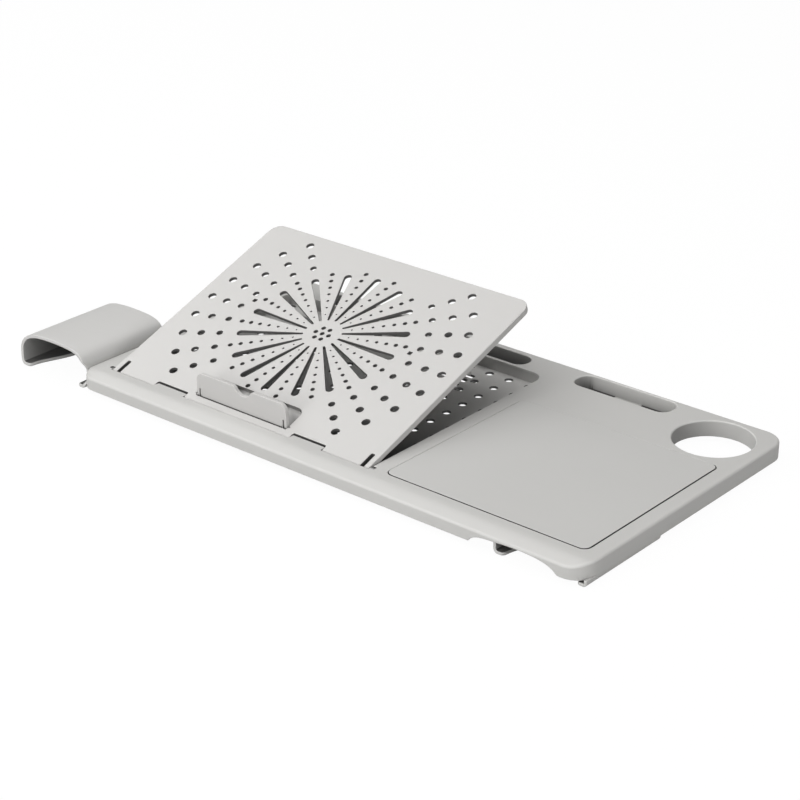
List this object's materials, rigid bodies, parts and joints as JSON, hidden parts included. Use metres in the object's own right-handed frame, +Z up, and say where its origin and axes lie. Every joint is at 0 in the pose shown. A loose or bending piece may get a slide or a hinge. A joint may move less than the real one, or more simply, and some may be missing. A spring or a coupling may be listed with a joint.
{
  "type": "chair laptop tray",
  "caption": "Moulded tray that clips over the armrests of a chair, with a tilting perforated laptop panel, flip-up stop, mouse surface, cup hole and device slots.",
  "frame": {"origin": "bottom centre of the bounding box: under the middle of the whole, on the plane of the left arm hook's lowest lip", "axes": "+X along the tray to the right, from the laptop side to the cup side; +Y to the back, away from the user; +Z up, out of the tray's top"},
  "size_m": [0.7176, 0.3274, 0.1083],
  "materials": {
    "shell_plastic": "satin warm grey moulded plastic",
    "panel_plastic": "satin warm grey moulded plastic",
    "pad_plastic": "fine matte grey surface",
    "hook_plastic": "satin warm grey moulded plastic",
    "inner_plastic": "satin warm grey moulded plastic",
    "screw_steel": "zinc plated"
  },
  "bodies": {
    "tray": {"tray_shell": "shell_plastic", "mouse_pad": "pad_plastic", "guide_rail_front": "inner_plastic", "guide_rail_rear": "inner_plastic", "inner_arm_hook": "hook_plastic", "rail_screw_front_left": "screw_steel", "rail_screw_front_middle": "screw_steel", "rail_screw_front_right": "screw_steel", "rail_screw_rear_left": "screw_steel", "rail_screw_rear_middle": "screw_steel", "rail_screw_rear_right": "screw_steel", "hook_screw_front": "screw_steel", "hook_screw_middle": "screw_steel", "hook_screw_rear": "screw_steel"},
    "panel": {"laptop_panel": "panel_plastic"},
    "stop": {"laptop_stop": "panel_plastic"},
    "prop": {"prop_leg": "panel_plastic"},
    "hook": {"arm_hook": "hook_plastic", "slide_plate": "inner_plastic", "plate_screw_front": "screw_steel", "plate_screw_middle": "screw_steel", "plate_screw_rear": "screw_steel"}
  },
  "joints": [
    {"name": "panel_tilt", "type": "hinge", "parent": "tray", "child": "panel", "pos_m": [-0.0708, -0.1352, 0.0194], "axis": [1, 0, 0], "range_deg": [-19.7, 10.3]},
    {"name": "stop_flip", "type": "hinge", "parent": "panel", "child": "stop", "pos_m": [-0.0703, -0.12728, 0.02309], "axis": [1, 0, 0], "range_deg": [-72, 0]},
    {"name": "prop_fold", "type": "hinge", "parent": "panel", "child": "prop", "pos_m": [-0.0688, 0.00531, 0.06334], "axis": [1, 0, 0], "range_deg": [-25.27, 48.07]},
    {"name": "hook_slide", "type": "slide", "parent": "tray", "child": "hook", "axis": [-1, 0, 0], "range_m": [0, 0.08]}
  ],
  "couplings": [
    {"joint": "prop_fold", "follows": "panel_tilt", "ratio": -2.4246}
  ]
}
